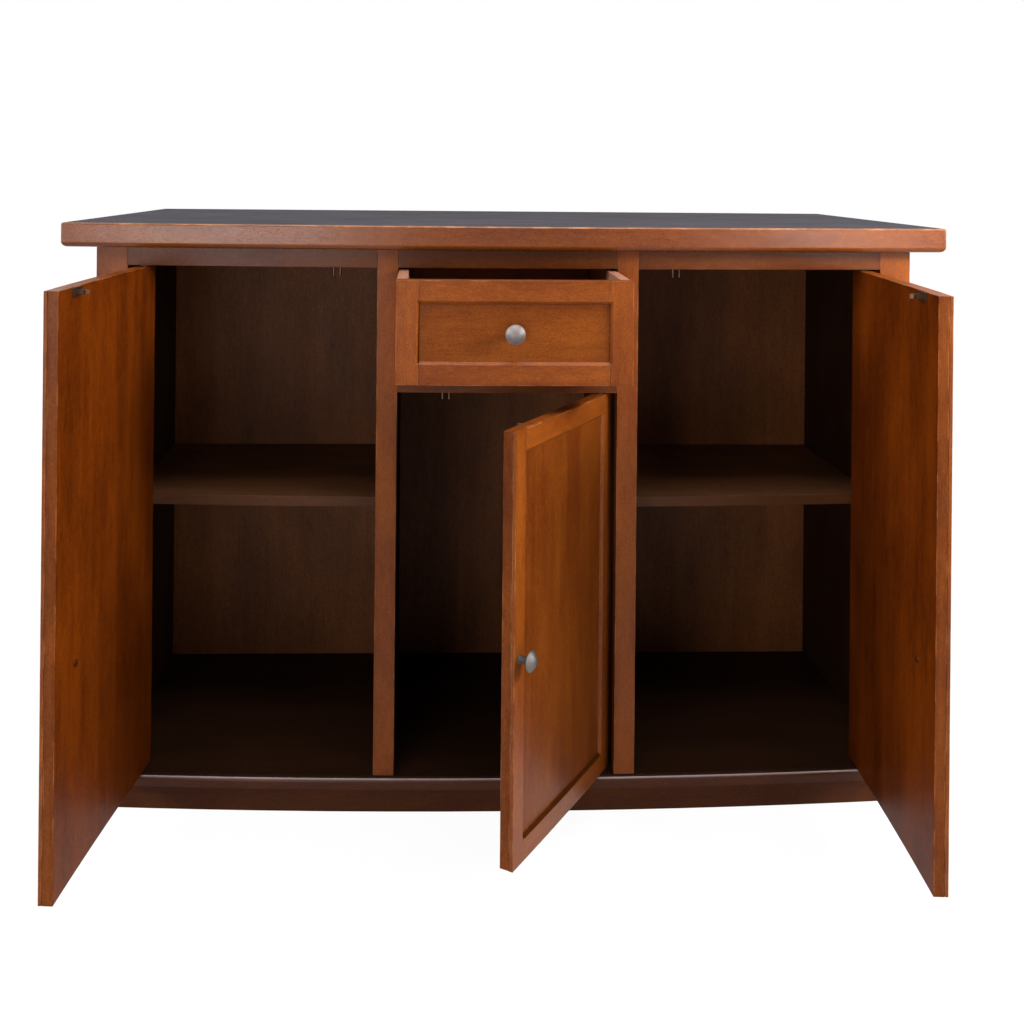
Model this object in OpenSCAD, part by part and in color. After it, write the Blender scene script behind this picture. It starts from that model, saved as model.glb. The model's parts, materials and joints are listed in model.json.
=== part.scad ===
// Bow-front buffet cabinet: two side bays with a door and a shelf each, and a
// middle bay with a drawer above a narrower door.
// Millimetres, +Z up. The origin is on the floor under the middle of the carcass,
// and the front faces -Y. The doors stand open and the drawer is partly out.

/* [Carcass] */
// Width over the front corners
body_w = 1228; // [1160:2:1300]
// Width over the back corners
back_w = 1204; // [1150:2:1228]
// Depth at the corners
body_d = 440; // [380:5:500]
// How far the front swells forward at the middle
bow = 24; // [14:1:34]
// Thickness of the side panels
side_t = 18; // [15:0.5:20]
// Thickness of the two partitions
partition_t = 18; // [15:0.5:22]
// Thickness of the bottom panel
bottom_t = 18; // [16:0.5:24]
// Thickness of the back panel
back_t = 6; // [4:0.5:9]
// Width of the rebate that holds the back panel
rebate_w = 9; // [6:0.5:12]
// How far the nosing of the bottom panel stands out
nosing_out = 6; // [0.5:0.5:8]
// Radius of the upper edge of that nosing
nosing_r = 9; // [6:0.5:12]
// Depth of the stretcher under the back of the top
stretcher_d = 60; // [40:1:90]
// Thickness of that stretcher
stretcher_t = 18; // [15:0.5:22]

/* [Plinth] */
// Height of the plinth
plinth_h = 36; // [30:1:60]
// Thickness of the plinth boards
plinth_t = 18; // [15:0.5:22]
// How far the plinth stands back
plinth_in = 0.5; // [0.5:0.5:10]

/* [Top] */
// Thickness of the top
top_t = 36; // [26:1:44]
// Width of the top along its front
top_w = 1320; // [1280:2:1400]
// Width of the top along its back
top_back_w = 1222; // [1214:2:1280]
// How far the top stands out over the front
top_front_over = 28; // [15:1:50]
// How far the top stands out at the back
top_back_over = 6; // [0:1:20]
// Radius of the upper edge
top_edge_r = 3; // [2:0.5:8]
// Radius of the lower edge
top_under_r = 8; // [6:0.5:14]

/* [Face frame] */
// Thickness of the stiles and rails
frame_t = 20; // [18:0.5:26]
// Width of the outer stiles
outer_stile_w = 47; // [38:1:60]
// Width of the middle stiles
mid_stile_w = 31; // [26:1:40]
// Width of the middle opening
centre_w = 328; // [300:2:380]
// Height of the side openings
opening_h = 754; // [700:2:800]
// Height of the top rails
top_rail_h = 28; // [24:1:50]
// Height of the rail under the drawer
drawer_rail_h = 38; // [28:1:50]
// Height of the drawer opening
drawer_open_h = 147; // [130:1:180]

/* [Shelves] */
// Thickness of the shelves
shelf_t = 16; // [14:0.5:20]
// Height of the top of the shelves
shelf_z = 441; // [300:5:600]
// How far the shelves stand back from the front
shelf_in = 98; // [60:1:140]
// Clearance round a shelf
shelf_gap = 1; // [0.5:0.1:2]
// Diameter of the shelf pins
shelf_pin_d = 5; // [4:0.5:7]
// Depth of a shelf pin in the wood
shelf_pin_in = 9; // [7:0.5:11]
// Length of a shelf pin outside the wood
shelf_pin_out = 10; // [8:0.5:14]
// Distance from the pins to the edges of the shelf
shelf_pin_edge = 50; // [30:1:80]

/* [Doors] */
// Thickness of a door and of the drawer front
door_t = 19; // [18:0.5:24]
// Thickness of the frame strips on the outer face
skin_t = 5; // [4:0.5:6]
// Width of the frame strips
strip_w = 32; // [26:0.5:40]
// Glue line between the core and the strips
glue_line = 0.06; // [0.04:0.01:0.1]
// Width of the bevel on their inner edge
bevel_w = 4; // [2:0.5:6]
// Square land under that bevel
bevel_land = 0.6; // [0.4:0.1:1.5]
// Clearance beside a door
door_gap = 2.5; // [2.2:0.1:3.5]
// Clearance above and below a door
door_gap_z = 2; // [1.8:0.1:3]
// Distance from the hinge edge of a door to its pivot
pivot_in = 21; // [18:0.5:24]
// How far the left door stands open
left_open = 92.9; // [0:0.1:115]
// How far the right door stands open
right_open = 84.8; // [0:0.1:115]
// How far the middle door stands open
centre_open = 59.9; // [0:0.1:100]

/* [Pivots] */
// Diameter of the pivot pins
pin_d = 6; // [5:0.5:6.5]
// Depth of a pivot pin in the door
pin_in = 18; // [12:1:30]
// Depth of a pivot socket in the wood
socket_h = 9; // [7:0.5:11]
// Outer diameter of a pivot socket
socket_d = 9; // [8.5:0.5:11]
// Diameter of the flange of a socket
flange_d = 15; // [13:0.5:17]
// Thickness of the flange
flange_t = 0.9; // [0.6:0.1:1]
// Diameter of the collar on a pin
collar_d = 11; // [9:0.5:13]
// Running clearance of a pin in its socket
pin_fit = 0.05; // [0.03:0.01:0.1]

/* [Drawer] */
// How far the drawer stands out
drawer_pull = 160; // [0:1:270]
// Clearance beside the drawer
drawer_gap = 1.5; // [1:0.1:3]
// Clearance above and below the drawer front
drawer_gap_z = 2; // [1.5:0.1:3]
// Thickness of the drawer sides
drawer_side_t = 14; // [10:0.5:16]
// Length of the drawer sides
drawer_len = 375; // [300:5:400]
// How far the drawer sides stop below the top of the front
drawer_side_drop = 1; // [0.5:0.5:20]
// Thickness of the drawer back
drawer_back_t = 12; // [10:0.5:16]
// Thickness of the drawer bottom
drawer_bottom_t = 5; // [4:0.5:8]
// Height of the drawer bottom above the lower edge of the sides
drawer_bottom_up = 10; // [8:0.5:16]
// Depth of the grooves for the drawer bottom
groove_d = 6; // [4:0.5:8]
// Clearance of the drawer over its runners
runner_gap = 0.3; // [0.2:0.1:1]
// Width of the ledge that a drawer side runs on
ledge_w = 20; // [14:1:30]
// Height of that ledge
ledge_h = 20; // [14:1:30]
// Height of the guide beside the drawer side
guide_h = 30; // [16:1:60]

/* [Knobs] */
// Diameter of a knob
knob_d = 28; // [22:1:36]
// How far a knob stands out
knob_out = 25; // [22:0.5:32]
// Height of the widest part of a knob above its foot
knob_rim_z = 17.5; // [16:0.5:20]
// Height at which the head of a knob starts
knob_head_z = 12; // [8:0.5:14]
// Diameter of the neck
knob_neck_d = 9; // [7.5:0.5:14]
// Radius of the hollow that widens the neck towards the head
knob_flare_r = 9; // [8:0.5:12]
// Diameter of the foot of a knob
knob_foot_d = 12; // [10:0.5:20]
// Thickness of the foot
knob_foot_t = 1.5; // [1:0.1:3]
// Height of the door knobs above the floor
knob_z = 326; // [250:2:420]
// Distance from the free edge of a side door to its knob
side_knob_edge = 66; // [55:1:120]
// Distance from the free edge of the middle door to its knob
centre_knob_edge = 13; // [12:0.5:16]
// Diameter of the knob screws
knob_screw_d = 4; // [3:0.5:5]
// Depth of a screw in its knob
knob_screw_in = 12; // [8:0.5:15]
// Diameter of the head of a knob screw
knob_screw_head = 8; // [7:0.5:10]
// Thickness of that head
knob_screw_head_t = 2.5; // [2:0.1:3]

/* [Catches] */
// Distance from the free edge of a side door to its catch
catch_edge = 60; // [40:1:90]
// Distance from the free edge of the middle door to its catch
centre_catch_edge = 70; // [50:1:100]
// Width of a catch and of its strike
catch_w = 30; // [26:1:40]
// Thickness of the catch plates
plate_t = 1.5; // [1:0.1:2]
// Height of the leaf that holds a catch behind its rail
catch_leaf_h = 16; // [12:0.5:22]
// Length of the arm that carries the rollers
catch_arm = 20; // [17:0.5:26]
// How far a catch hangs below the edge of its rail
catch_drop = 1; // [0.5:0.1:1.5]
// Diameter of a catch roller
roller_d = 4.5; // [4:0.5:6]
// Height of a roller
roller_h = 14; // [12:0.5:16]
// Distance between the two rollers of a catch
roller_space = 10; // [9:0.5:13]
// Distance from the back of the rail to the rollers
roller_y = 11; // [9:0.5:13]
// Height of a strike
strike_h = 12; // [10:0.5:16]
// Distance from the top of a door to its strike
strike_drop = 1; // [0.5:0.5:4]
// Height of the tongue of a strike
tongue_h = 6; // [4:0.5:8]
// Thickness of the tongue
tongue_t = 3; // [2:0.2:3.4]
// Length of the tongue
tongue_len = 15; // [12:0.5:17]

/* [Hidden] */

cherry = [0.42, 0.17, 0.07];
cherry_dark = [0.30, 0.12, 0.06];
inside_wood = [0.36, 0.17, 0.09];
nickel = [0.70, 0.69, 0.66];
steel = [0.55, 0.55, 0.56];

// Facets of the great arc of the front, and of small round parts
bow_fn = 1440;
round_fn = 48;
// A cut reaches this much past the face that it opens
over = 1;
// A plan is cut from a sheet that reaches this much past the front
reach = 80;

half_w = body_w / 2;
half_d = body_d / 2;
// Plans are cut from sheets this wide and deep
sheet = 2 * (body_w + back_w + body_d);
bow_r = (half_w * half_w + bow * bow) / (2 * bow);
bow_y = bow_r - half_d - bow;

floor_z = plinth_h + bottom_t;
head_z = floor_z + opening_h;
body_h = head_z + top_rail_h;
drawer_z = head_z - drawer_open_h;
drawer_rail_z = drawer_z - drawer_rail_h;

open_x = half_w - outer_stile_w;
mid_in = centre_w / 2;
mid_out = mid_in + mid_stile_w;
partition_x = (mid_in + mid_out) / 2;
back_in_y = half_d - back_t;
rebate_x = back_w / 2 - side_t + rebate_w;
back_gap = 0.5;

side_door = [mid_out + door_gap, open_x - door_gap];
centre_door = [-mid_in + door_gap, mid_in - door_gap];
door_z = floor_z + door_gap_z;
side_door_top = head_z - door_gap_z;
centre_door_top = drawer_rail_z - door_gap_z;
side_pivot_x = side_door[1] - pivot_in;
centre_pivot_x = centre_door[1] - pivot_in;
side_catch_x = side_door[0] + catch_edge;
centre_catch_x = centre_door[0] + centre_catch_edge;
side_knob_x = side_door[0] + side_knob_edge;
centre_knob_x = centre_door[0] + centre_knob_edge;

drawer_x = mid_in - drawer_gap;
drawer_span = [-drawer_x, drawer_x];
drawer_front_z = drawer_z + drawer_gap_z;
drawer_front_top = head_z - drawer_gap_z;
drawer_knob_z = (drawer_front_z + drawer_front_top) / 2;
drawer_side_z = drawer_z + runner_gap;
drawer_side_top = drawer_front_top - drawer_side_drop;
drawer_inner_x = drawer_x - drawer_side_t;
drawer_bottom_z = drawer_side_z + drawer_bottom_up;
drawer_end_y = front_y(0, door_t) + drawer_len;
bore_fit = 0.1;
// A flat plate sits this far off the hollow back of a curved board
plate_seat = 0.02;
// A shelf pin sits this far below its shelf
pin_seat = 0.05;
// Clearance between the collar of a pivot pin and the flange of its socket
collar_gap = 0.1;

shelf_pin_z = shelf_z - shelf_t - shelf_pin_d / 2 - pin_seat;
shelf_pin_front = front_y(open_x, shelf_in) + shelf_pin_edge;
shelf_pin_back = back_in_y - shelf_pin_edge;
partition_face = partition_x + partition_t / 2;

// y of the front at x, set back by a depth
function front_y(x, depth = 0) = bow_y - sqrt(pow(bow_r - depth, 2) - x * x);

// x of the outer face of the carcass at y, set in by a depth
function side_x(y, depth = 0) =
  half_w - depth - (body_w - back_w) / 2 * (y + half_d) / body_d;

// Great disc whose rim is the front, set back by a depth
module disc(depth = 0) {
  translate([0, bow_y])
    circle(bow_r - depth, $fn = bow_fn);
}

// Outline between the two side faces, from before the front to a back line
module between_sides(depth, back_y) {
  front = -half_d - reach;
  polygon([
    [-side_x(front, depth), front], [side_x(front, depth), front],
    [side_x(back_y, depth), back_y], [-side_x(back_y, depth), back_y]
  ]);
}

// Upright board that follows the front from x0 to x1, with edges square to its face
module curved_board(x0, x1, z0, z1, depth, thick) {
  start = asin(x0 / bow_r);
  translate([0, bow_y, 0])
    rotate([0, 0, start - 90])
      rotate_extrude(angle = asin(x1 / bow_r) - start, $fn = bow_fn)
        translate([bow_r - depth - thick, z0])
          square([thick, z1 - z0]);
}

// Section of a board whose upper edge, at x = 0, is rounded over
module nosing_section(width, thick) {
  difference() {
    translate([-width, 0])
      square([width, thick]);
    translate([-nosing_r, thick - nosing_r])
      corner_waste(nosing_r);
  }
}

// Children turned about the centre of the bow, to stand square to the front at x
module at_front(x, depth) {
  translate([0, bow_y, 0])
    rotate([0, 0, asin(x / (bow_r - depth))])
      translate([0, -(bow_r - depth), 0])
        children();
}

// Both hands of a piece
module both() {
  children();
  mirror([1, 0, 0])
    children();
}

// Top: a bowed front and splayed ends, all with the same rounded rim
module top_slab() {
  corner_y = -half_d - top_front_over;
  end_y = half_d + top_back_over;
  slope = (top_w - top_back_w) / 2 / (end_y - corner_y);
  front_w = top_w / 2 + slope * reach;
  color(cherry)
    difference() {
      intersection() {
        translate([0, bow_y, body_h])
          rotate_extrude($fn = bow_fn)
            translate([bow_r + top_front_over, 0])
              rim_section(body_d + 2 * reach);
        translate([0, 0, body_h - over])
          linear_extrude(top_t + 2 * over)
            polygon([
              [-front_w, corner_y - reach], [front_w, corner_y - reach],
              [top_back_w / 2, end_y], [-top_back_w / 2, end_y]
            ]);
      }
      both()
        translate([top_w / 2, corner_y, body_h])
          rotate([90, 0, atan(slope)])
            translate([0, 0, -2 * body_d])
              linear_extrude(3 * body_d)
                rim_waste();
    }
}

// Section of the top, whose face is at x = 0
module rim_section(width) {
  difference() {
    translate([-width, 0])
      square([width, top_t]);
    rim_waste();
  }
}

// What the two roundings take off the rim of the top
module rim_waste() {
  translate([-top_edge_r, top_t - top_edge_r])
    corner_waste(top_edge_r);
  translate([-top_under_r, top_under_r])
    mirror([0, 1])
      corner_waste(top_under_r);
}

// The arc stands a hair proud, so that it crosses both faces instead of grazing them
module corner_waste(r) {
  hair = 0.03;
  difference() {
    square(r + over);
    translate([hair, hair])
      circle(r, $fn = round_fn);
  }
}

// Side panel of the right hand, with its rebate and shelf pin holes
module side_panel() {
  color(cherry)
    difference() {
      translate([0, 0, floor_z])
        linear_extrude(body_h - floor_z)
          difference() {
            intersection() {
              disc(frame_t);
              polygon([
                [side_x(-half_d), -half_d], [side_x(half_d), half_d],
                [side_x(half_d, side_t), half_d], [side_x(-half_d, side_t), -half_d]
              ]);
            }
            translate([0, back_in_y])
              square([rebate_x, back_t + over]);
          }
      side_pin_holes();
    }
}

module side_pin_holes() {
  for (y = [shelf_pin_front, shelf_pin_back])
    translate([side_x(y, side_t), y, shelf_pin_z])
      shelf_pin_bore();
}

module shelf_pin_bore() {
  translate([-over, 0, 0])
    rotate([0, 90, 0])
      cylinder(d = shelf_pin_d + 2 * bore_fit, h = shelf_pin_in + over, $fn = round_fn);
}

// Outer stile of the right hand
module outer_stile() {
  color(cherry)
    intersection() {
      curved_board(open_x, half_w + reach, floor_z, body_h, 0, frame_t);
      translate([0, 0, floor_z])
        linear_extrude(body_h - floor_z)
          between_sides(0, half_d);
    }
}

module mid_stile() {
  color(cherry)
    curved_board(mid_in, mid_out, floor_z, body_h, 0, frame_t);
}

// Rail across an opening, bored from below for its pivot socket
module rail(x0, x1, z0, z1, pivot_x) {
  color(cherry)
    difference() {
      curved_board(x0, x1, z0, z1, 0, frame_t);
      translate([pivot_x, front_y(pivot_x, door_t / 2), z0])
        socket_bore();
    }
}

module socket_bore() {
  translate([0, 0, -over])
    cylinder(d = socket_d + 2 * bore_fit, h = socket_h + over + bore_fit, $fn = round_fn);
}

module top_rail_centre() {
  color(cherry)
    curved_board(-mid_in, mid_in, head_z, body_h, 0, frame_t);
}

// Bottom panel with a rounded nosing along the bow
module bottom_panel() {
  color(cherry_dark)
    difference() {
      intersection() {
        translate([0, bow_y, plinth_h])
          rotate_extrude($fn = bow_fn)
            translate([bow_r + nosing_out, 0])
              nosing_section(body_d + reach * 2, bottom_t);
        translate([0, 0, plinth_h - over])
          linear_extrude(bottom_t + 2 * over)
            between_sides(0, half_d);
      }
      translate([-rebate_x, back_in_y, plinth_h - over])
        cube([2 * rebate_x, back_t + over, bottom_t + 2 * over]);
      for (x = [-side_pivot_x, centre_pivot_x, side_pivot_x])
        translate([x, front_y(x, door_t / 2), floor_z])
          mirror([0, 0, 1])
            socket_bore();
    }
}

module plinth_front() {
  color(cherry_dark)
    linear_extrude(plinth_h)
      intersection() {
        difference() {
          disc(plinth_in);
          disc(plinth_in + plinth_t);
        }
        translate([-sheet / 2, -half_d - reach])
          square([sheet, half_d]);
        between_sides(plinth_in, half_d);
      }
}

module plinth_ends() {
  back_y = back_in_y;
  color(cherry_dark)
    linear_extrude(plinth_h)
      difference() {
        intersection() {
          disc(plinth_in + plinth_t);
          between_sides(plinth_in, back_y);
        }
        between_sides(plinth_in + plinth_t, back_y + over);
      }
}

module plinth_back() {
  color(cherry_dark)
    linear_extrude(plinth_h)
      intersection() {
        between_sides(plinth_in + plinth_t, back_in_y);
        translate([-sheet / 2, back_in_y - plinth_t])
          square([sheet, plinth_t]);
      }
}

module plinth_bearer() {
  color(cherry_dark)
    linear_extrude(plinth_h)
      intersection() {
        disc(plinth_in + plinth_t);
        translate([-plinth_t / 2, -half_d - bow])
          square([plinth_t, back_in_y - plinth_t + half_d + bow]);
      }
}

// Partition of the right hand, notched for the stretcher and bored for the pins
module partition() {
  color(inside_wood)
    difference() {
      translate([0, 0, floor_z])
        linear_extrude(body_h - floor_z)
          intersection() {
            disc(frame_t);
            translate([partition_x - partition_t / 2, -half_d - bow])
              square([partition_t, back_in_y + half_d + bow]);
          }
      translate([0, back_in_y - stretcher_d, body_h - stretcher_t])
        cube([half_w, stretcher_d + over, stretcher_t + over]);
      for (y = [shelf_pin_front, shelf_pin_back])
        translate([partition_face, y, shelf_pin_z])
          mirror([1, 0, 0])
            shelf_pin_bore();
    }
}

module back_panel() {
  color(inside_wood)
    translate([-rebate_x + back_gap, back_in_y, plinth_h])
      cube([2 * (rebate_x - back_gap), back_t, body_h - plinth_h]);
}

module top_stretcher() {
  color(inside_wood)
    translate([0, 0, body_h - stretcher_t])
      linear_extrude(stretcher_t)
        intersection() {
          between_sides(side_t, back_in_y);
          translate([-sheet / 2, back_in_y - stretcher_d])
            square([sheet, stretcher_d]);
        }
}

// Shelf of the right hand
module shelf() {
  face = partition_face + shelf_gap;
  color(inside_wood)
    translate([0, 0, shelf_z - shelf_t])
      linear_extrude(shelf_t)
        intersection() {
          disc(shelf_in);
          between_sides(side_t + shelf_gap, back_in_y - shelf_gap);
          translate([face, -half_d])
            square([sheet, body_d]);
        }
}

// Four pins on each side, half in the wood and half under the shelf
module shelf_pins() {
  length = shelf_pin_in + shelf_pin_out;
  color(steel)
    both()
      for (y = [shelf_pin_front, shelf_pin_back]) {
        translate([side_x(y, side_t) - shelf_pin_out, y, shelf_pin_z])
          rotate([0, 90, 0])
            cylinder(d = shelf_pin_d, h = length, $fn = round_fn);
        translate([partition_face - shelf_pin_in, y, shelf_pin_z])
          rotate([0, 90, 0])
            cylinder(d = shelf_pin_d, h = length, $fn = round_fn);
      }
}

// Runner with a ledge below the drawer side and a guide beside it
module drawer_runners() {
  wall_x = partition_x - partition_t / 2;
  guide_x = drawer_x + drawer_gap / 2;
  ledge_x = drawer_x - ledge_w;
  color(inside_wood)
    both()
      intersection() {
        translate([0, drawer_end_y + drawer_back_t, 0])
          rotate([90, 0, 0])
            linear_extrude(body_d)
              polygon([
                [ledge_x, drawer_z - ledge_h], [wall_x, drawer_z - ledge_h],
                [wall_x, drawer_z + guide_h], [guide_x, drawer_z + guide_h],
                [guide_x, drawer_z], [ledge_x, drawer_z]
              ]);
        linear_extrude(body_h)
          disc(frame_t);
      }
}

// Roller catch: a leaf on the back of a rail, an arm and two upright rollers
module door_catch(x, rail_z) {
  z = rail_z - catch_drop;
  color(steel)
    at_front(x, frame_t + plate_seat) {
      translate([-catch_w / 2, 0, z])
        cube([catch_w, plate_t, catch_leaf_h]);
      translate([-catch_w / 2, 0, z])
        cube([catch_w, catch_arm, plate_t]);
      for (side = [-1, 1])
        translate([side * roller_space / 2, roller_y, z - roller_h])
          cylinder(d = roller_d, h = roller_h + plate_t, $fn = round_fn);
    }
}

module door_catches() {
  both()
    door_catch(side_catch_x, head_z);
  door_catch(centre_catch_x, drawer_rail_z);
}

// Flanged socket, its flange up
module pivot_socket() {
  color(steel)
    difference() {
      union() {
        translate([0, 0, -socket_h])
          cylinder(d = socket_d, h = socket_h, $fn = round_fn);
        cylinder(d = flange_d, h = flange_t, $fn = round_fn);
      }
      translate([0, 0, -socket_h + over])
        cylinder(d = pin_d + 2 * pin_fit, h = socket_h + flange_t, $fn = round_fn);
    }
}

module socket_pair(x, top_z) {
  y = front_y(x, door_t / 2);
  translate([x, y, floor_z])
    pivot_socket();
  translate([x, y, top_z])
    mirror([0, 0, 1])
      pivot_socket();
}

module pivot_sockets() {
  socket_pair(-side_pivot_x, head_z);
  socket_pair(side_pivot_x, head_z);
  socket_pair(centre_pivot_x, drawer_rail_z);
}

// A leaf is a door or the drawer front: span holds its left and right edge,
// and the curved core carries a frame of bevelled strips on its outer face
module leaf_core(span, z0, z1) {
  curved_board(span[0], span[1], z0, z1, skin_t, door_t - skin_t);
}

module strip(x0, x1, z0, z1) {
  curved_board(x0, x1, z0, z1, 0, skin_t - glue_line);
}

// Stiles of a leaf, from top to bottom
module leaf_stiles(span, z0, z1) {
  difference() {
    union() {
      strip(span[0], span[0] + strip_w, z0, z1);
      strip(span[1] - strip_w, span[1], z0, z1);
    }
    bevelled_opening(span, z0, z1);
  }
}

// Rails of a leaf, between its stiles
module leaf_rails(span, z0, z1) {
  difference() {
    union() {
      for (z = [z0, z1 - strip_w])
        strip(span[0] + strip_w, span[1] - strip_w, z, z + strip_w);
    }
    bevelled_opening(span, z0, z1);
  }
}

// Distance from the edge of a leaf to the bevel of its strips at a depth
function inset(depth) = strip_w - bevel_w * (1 - depth / (skin_t - bevel_land));

// Opening inside the strips of a leaf, with bevelled sides that meet in mitres
module bevelled_opening(span, z0, z1) {
  near = -over;
  deep = skin_t + over;
  left = [span[0] + inset(near), span[0] + inset(deep)];
  right = [span[1] - inset(near), span[1] - inset(deep)];
  intersection() {
    translate([0, 0, z0])
      linear_extrude(z1 - z0)
        polygon([
          [right[0], -half_d - reach], [right[0], front_y(right[0], near)],
          [right[1], front_y(right[1], deep)], [left[1], front_y(left[1], deep)],
          [left[0], front_y(left[0], near)], [left[0], -half_d - reach]
        ]);
    translate([0, bow_y, 0])
      rotate_extrude($fn = bow_fn)
        polygon([
          [bow_r - near, z0 + inset(near)], [bow_r - near, z1 - inset(near)],
          [bow_r - deep, z1 - inset(deep)], [bow_r - deep, z0 + inset(deep)]
        ]);
  }
}

// Radius of the arc that rises by a height over the radius of a knob
function knob_arc(rise) = (knob_d * knob_d / 4 + rise * rise) / (2 * rise);

// Knob with its foot on z = 0: a domed head on a neck that widens towards it
module knob() {
  dome_r = knob_arc(knob_out - knob_rim_z);
  cup_r = knob_arc(knob_rim_z - knob_head_z);
  rim_land = 0.4;
  color(nickel)
    difference() {
      rotate_extrude($fn = round_fn) {
        square([knob_foot_d / 2, knob_foot_t]);
        difference() {
          square([knob_d / 3, knob_head_z + over]);
          translate([knob_neck_d / 2 + knob_flare_r, knob_foot_t])
            circle(knob_flare_r, $fn = 4 * round_fn);
        }
        intersection() {
          translate([0, knob_out - dome_r])
            circle(dome_r, $fn = 4 * round_fn);
          translate([0, knob_head_z + cup_r])
            circle(cup_r, $fn = 4 * round_fn);
          square([knob_d / 2 - rim_land, knob_out + over]);
        }
      }
      translate([0, 0, -over])
        cylinder(
          d = knob_screw_d + 2 * bore_fit, h = knob_screw_in + 2 * over, $fn = round_fn
        );
    }
}

// Screw whose head sits on z = -thick, with its shank up into the knob
module knob_screw(thick) {
  color(steel) {
    translate([0, 0, -thick - knob_screw_head_t])
      cylinder(d = knob_screw_head, h = knob_screw_head_t, $fn = round_fn);
    translate([0, 0, -thick])
      cylinder(d = knob_screw_d, h = thick + knob_screw_in, $fn = round_fn);
  }
}

// Children with +Z turned to point out of the front at x and z
module on_front(x, z, depth) {
  at_front(x, depth)
    translate([0, 0, z])
      rotate([90, 0, 0])
        children();
}

// Hole through a leaf for the screw of a knob that stands at a depth
module screw_bore(x, z, depth) {
  on_front(x, z, depth)
    translate([0, 0, -door_t - over])
      cylinder(d = knob_screw_d + 2 * bore_fit, h = 2 * door_t, $fn = round_fn);
}

// Strike on the back of a door: a plate with an arrow-headed tongue
module strike(x, top_z) {
  stem = tongue_t / 4;
  color(steel)
    at_front(x, door_t + plate_seat)
      translate([0, 0, top_z - strike_h - strike_drop]) {
        translate([-catch_w / 2, 0, 0])
          cube([catch_w, plate_t, strike_h]);
        translate([0, plate_t, (strike_h - tongue_h) / 2])
          linear_extrude(tongue_h)
            polygon([
              [-stem, 0], [stem, 0], [stem, tongue_len / 2],
              [tongue_t / 2, 0.7 * tongue_len], [0, tongue_len],
              [-tongue_t / 2, 0.7 * tongue_len], [-stem, tongue_len / 2]
            ]);
      }
}

// Upper and lower pivot pin of a door
module pivot_pins(x, z0, z1) {
  y = front_y(x, door_t / 2);
  translate([x, y, z1])
    pivot_pin();
  translate([x, y, z0])
    mirror([0, 0, 1])
      pivot_pin();
}

module pivot_pin() {
  collar_t = door_gap_z - flange_t - collar_gap;
  color(steel) {
    translate([0, 0, -pin_in])
      cylinder(d = pin_d, h = pin_in + door_gap_z + socket_h - over * 2, $fn = round_fn);
    cylinder(d = collar_d, h = collar_t, $fn = round_fn);
  }
}

module pin_bores(x, z0, z1) {
  y = front_y(x, door_t / 2);
  for (z = [z0 - over, z1 - pin_in - bore_fit])
    translate([x, y, z])
      cylinder(d = pin_d + 2 * pin_fit, h = pin_in + over + bore_fit, $fn = round_fn);
}

// Core of a door, bored for its pivot pins and the screw of its knob
module door_panel(span, z1, pivot_x, knob_x, knob_depth) {
  color(cherry)
    difference() {
      leaf_core(span, door_z, z1);
      pin_bores(pivot_x, door_z, z1);
      screw_bore(knob_x, knob_z, knob_depth);
    }
}

module door_stiles(span, z1) {
  color(cherry)
    leaf_stiles(span, door_z, z1);
}

module door_rails(span, z1) {
  color(cherry)
    leaf_rails(span, door_z, z1);
}

// Children swung open about the pivot at x
module swing(x, angle) {
  y = front_y(x, door_t / 2);
  translate([x, y, 0])
    rotate([0, 0, angle])
      translate([-x, -y, 0])
        children();
}

module left_door() {
  swing(-side_pivot_x, -left_open)
    mirror([1, 0, 0])
      children();
}

module right_door() {
  swing(side_pivot_x, right_open)
    children();
}

module centre_door() {
  swing(centre_pivot_x, centre_open)
    children();
}

// The drawer, pulled out
module drawer() {
  translate([0, -drawer_pull, 0])
    children();
}

// Core of the drawer front, grooved for the bottom and bored for the knob screw
module drawer_front_panel() {
  color(cherry)
    difference() {
      leaf_core(drawer_span, drawer_front_z, drawer_front_top);
      drawer_groove(drawer_inner_x + groove_d);
      screw_bore(0, drawer_knob_z, skin_t);
    }
}

// Slot round the drawer bottom
module drawer_groove(half) {
  translate([0, 0, drawer_bottom_z - bore_fit])
    linear_extrude(drawer_bottom_t + 2 * bore_fit)
      intersection() {
        disc(door_t - groove_d);
        translate([-half, -half_d - reach])
          square([2 * half, sheet]);
      }
}

module drawer_front_stiles() {
  color(cherry)
    leaf_stiles(drawer_span, drawer_front_z, drawer_front_top);
}

module drawer_front_rails() {
  color(cherry)
    leaf_rails(drawer_span, drawer_front_z, drawer_front_top);
}

// Drawer side of the right hand
module drawer_side() {
  color(inside_wood)
    difference() {
      translate([0, 0, drawer_side_z])
        linear_extrude(drawer_side_top - drawer_side_z)
          intersection() {
            disc(door_t);
            translate([drawer_inner_x, -half_d - bow])
              square([drawer_side_t, drawer_end_y + half_d + bow]);
          }
      drawer_groove(drawer_inner_x + groove_d);
    }
}

module drawer_back() {
  z0 = drawer_bottom_z + drawer_bottom_t + bore_fit;
  color(inside_wood)
    translate([-drawer_inner_x, drawer_end_y - drawer_back_t, z0])
      cube([2 * drawer_inner_x, drawer_back_t, drawer_side_top - z0 - drawer_back_t / 2]);
}

module drawer_bottom() {
  half = drawer_inner_x + groove_d - bore_fit;
  color(inside_wood)
    translate([0, 0, drawer_bottom_z])
      linear_extrude(drawer_bottom_t)
        intersection() {
          disc(door_t - groove_d + bore_fit);
          translate([-half, -half_d - reach])
            square([2 * half, drawer_end_y + half_d + reach]);
        }
}

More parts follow.
